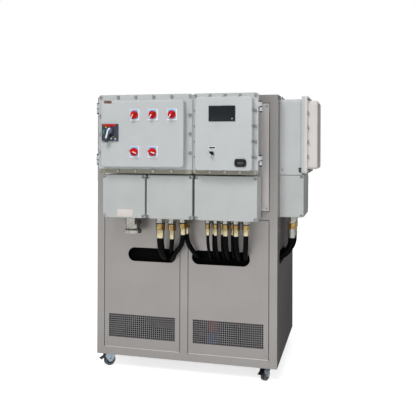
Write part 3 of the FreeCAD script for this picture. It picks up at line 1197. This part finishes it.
def build_compressor():
    foot_low = TRAY_TOP + MOUNT_HEIGHT
    shell_low = foot_low + COMPRESSOR_FOOT_THICKNESS
    half = COMPRESSOR_FOOT / 2
    foot = block((COMPRESSOR_X - half, COMPRESSOR_Y - half, foot_low),
                 (COMPRESSOR_X + half, COMPRESSOR_Y + half, shell_low))
    shell = rod(COMPRESSOR_RADIUS, (COMPRESSOR_X, COMPRESSOR_Y, shell_low), Z_AXIS, COMPRESSOR_HEIGHT)
    rim = [edge for edge in shell.Edges if edge.Closed and edge.BoundBox.ZMin > shell_low + COMPRESSOR_DOME]
    add("compressor", joined(foot, shell.makeFillet(COMPRESSOR_DOME, rim)))
    reach = half - MOUNT_INSET
    for x in (COMPRESSOR_X - reach, COMPRESSOR_X + reach):
        for y in (COMPRESSOR_Y - reach, COMPRESSOR_Y + reach):
            add("compressor", rod(MOUNT_RADIUS, (x, y, TRAY_TOP), Z_AXIS, MOUNT_HEIGHT))


def rear_ports():
    """Places and pipe radii of the ports on the back: process supply and return, water in and out."""
    return_x = EXCHANGER_X + EXCHANGER_WIDTH / 2
    return [(SUPPLY_X, PIPE_Z, PIPE_RADIUS), (return_x, PIPE_Z, PIPE_RADIUS),
            (WATER_X, WATER_LOW_Z, WATER_PIPE_RADIUS), (WATER_X, WATER_HIGH_Z, WATER_PIPE_RADIUS)]


def port_flange(line, x):
    """Pipe line with a drilled flange on its outer end."""
    outside = CABINET_DEPTH + PORT_STANDOFF
    disc = rod(PORT_FLANGE_RADIUS, (x, outside, PIPE_Z), Y_AXIS, PORT_FLANGE)
    end = outside + PORT_FLANGE
    cuts = [rod(PORT_BORE_RADIUS, (x, end - PORT_BORE_LENGTH, PIPE_Z), Y_AXIS, PORT_BORE_LENGTH + CUT_OVER)]
    for step in range(PORT_BOLTS):
        angle = math.radians(360.0 * (step + 0.5) / PORT_BOLTS)
        u = x + PORT_BOLT_CIRCLE / 2 * math.cos(angle)
        z = PIPE_Z + PORT_BOLT_CIRCLE / 2 * math.sin(angle)
        cuts.append(rod(PORT_BOLT_RADIUS, (u, outside - CUT_OVER, z), Y_AXIS, PORT_FLANGE + 2 * CUT_OVER))
    return cut_all(joined(line, disc), cuts)


def water_port(line, z):
    """Water line with a threaded hex socket on its outer end."""
    end = CABINET_DEPTH + REAR_REACH - PORT_STANDOFF
    socket = hex_bar(WATER_PORT_FLATS, (WATER_X, end, z), Y_AXIS, WATER_PORT_LENGTH - PORT_FLANGE)
    collar = rod(WATER_PORT_BORE_RADIUS + WATER_PORT_WALL, (WATER_X, end + WATER_PORT_LENGTH - PORT_FLANGE, z),
                 Y_AXIS * -1, WATER_PORT_LENGTH)
    bore = rod(WATER_PORT_BORE_RADIUS, (WATER_X, end - PORT_FLANGE, z), Y_AXIS, WATER_PORT_LENGTH + CUT_OVER)
    return joined(line, socket, collar).cut(bore)


def build_pipework():
    outside = CABINET_DEPTH + PORT_STANDOFF
    heater_side = HEATER_X + HEATER_RADIUS + FACE_GAP
    supply, radii = pipe(PIPE_RADIUS, [(heater_side, HEATER_Y, PIPE_Z), (SUPPLY_X, HEATER_Y, PIPE_Z),
                                       (SUPPLY_X, outside, PIPE_Z)])
    add("pipework", port_flange(supply, SUPPLY_X))
    middle_x = EXCHANGER_X + EXCHANGER_WIDTH / 2
    middle_y = EXCHANGER_Y + EXCHANGER_DEPTH / 2
    exchanger_top = TRAY_TOP + EXCHANGER_HEIGHT
    back_line, radii = pipe(PIPE_RADIUS, [(middle_x, middle_y, exchanger_top - EXCHANGER_INSET),
                                          (middle_x, middle_y, PIPE_Z), (middle_x, outside, PIPE_Z)])
    add("pipework", port_flange(back_line, middle_x))
    suction, radii = pipe(SMALL_PIPE_RADIUS, [(middle_x, EXCHANGER_Y, SUCTION_Z),
                                              (middle_x, PUMP_Y, SUCTION_Z),
                                              (PUMP_X - PUMP_RADIUS - FACE_GAP, PUMP_Y, SUCTION_Z)])
    discharge, radii = pipe(SMALL_PIPE_RADIUS, [(PUMP_X, PUMP_Y + PUMP_RADIUS + FACE_GAP, DISCHARGE_Z),
                                                (PUMP_X, LANE_Y, DISCHARGE_Z), (HEATER_X, LANE_Y, DISCHARGE_Z),
                                                (HEATER_X, HEATER_Y - HEATER_RADIUS - FACE_GAP, DISCHARGE_Z)])
    add("pipework", suction, discharge)
    side_x = EXCHANGER_X + EXCHANGER_WIDTH - EXCHANGER_INSET
    for z in (WATER_LOW_Z, WATER_HIGH_Z):
        line, radii = pipe(WATER_PIPE_RADIUS, [(side_x, WATER_Y, z), (WATER_X, WATER_Y, z),
                                               (WATER_X, CABINET_DEPTH, z)])
        add("pipework", water_port(line, z))
    compressor_side = COMPRESSOR_X - COMPRESSOR_RADIUS - FACE_GAP
    hot, radii = pipe(COPPER_RADIUS, [(compressor_side, COMPRESSOR_Y, COMPRESSOR_PIPE_Z),
                                      (COPPER_RISER_X, COMPRESSOR_Y, COMPRESSOR_PIPE_Z),
                                      (COPPER_RISER_X, COMPRESSOR_Y, COPPER_HIGH_Z),
                                      (COPPER_RISER_X, middle_y, COPPER_HIGH_Z),
                                      (COPPER_DROP_X, middle_y, COPPER_HIGH_Z),
                                      (COPPER_DROP_X, middle_y, COPPER_MID_Z),
                                      (side_x, middle_y, COPPER_MID_Z)])
    compressor_back = COMPRESSOR_Y + COMPRESSOR_RADIUS + FACE_GAP
    cold, radii = pipe(COPPER_RADIUS, [(side_x, middle_y, COMPRESSOR_PIPE_Z),
                                       (COMPRESSOR_X, middle_y, COMPRESSOR_PIPE_Z),
                                       (COMPRESSOR_X, compressor_back, COMPRESSOR_PIPE_Z)])
    add("copper_lines", hot, cold)


# Gear plates and devices inside the enclosures
def build_gear(width, devices, place):
    """Mounting plate on studs with a row of devices hung from its top."""
    low = GEAR_PLATE_INSET
    far_u = width - low
    far_z = ENCLOSURE_HEIGHT - low
    plate_back = -BACK_WALL - GEAR_STUD
    plate = block((low, plate_back - GEAR_PLATE, low), (far_u, plate_back, far_z))
    solids = [plate]
    for u in (low + GEAR_STUD_INSET, far_u - GEAR_STUD_INSET):
        for z in (low + GEAR_STUD_INSET, far_z - GEAR_STUD_INSET):
            solids.append(rod(GEAR_STUD_RADIUS, (u, plate_back, z), Y_AXIS, GEAR_STUD))
    top = far_z - GEAR_TOP_GAP
    u = low + GEAR_SIDE_GAP
    for (device_width, depth, height), pitch in devices:
        front = plate_back - GEAR_PLATE - depth
        solids.append(block((u, front, top - height), (u + device_width, plate_back - GEAR_PLATE, top)))
        u += pitch
    add("switchgear", *[place(solid) for solid in solids])


def build_inside():
    contactors = [(CONTACTOR, CONTACTOR_PITCH)] * CONTACTOR_COUNT
    build_gear(SWITCH_WIDTH, [(BREAKER, BREAKER[0] + GEAR_SIDE_GAP)] + contactors, at_switch)
    build_gear(CONTROL_WIDTH, [(CONTROLLER, CONTROLLER[0])], at_control)
    build_gear(CONTROL_WIDTH, [(DRIVE, DRIVE[0])], at_side)


def main():
    build_frame()
    build_panels()
    build_struts()
    build_enclosures()
    build_switches()
    build_controls()
    build_boxes()
    build_duct()
    build_casters()
    build_pump()
    build_vessels()
    build_compressor()
    build_pipework()
    build_inside()
    os.makedirs("parts", exist_ok=True)
    for name, solids in nodes.items():
        shape = Part.makeCompound([moved(solid, MIDDLE) for solid in solids])
        shape.exportStep("parts/%s.step" % name)
    print(len(nodes), "nodes")


main()
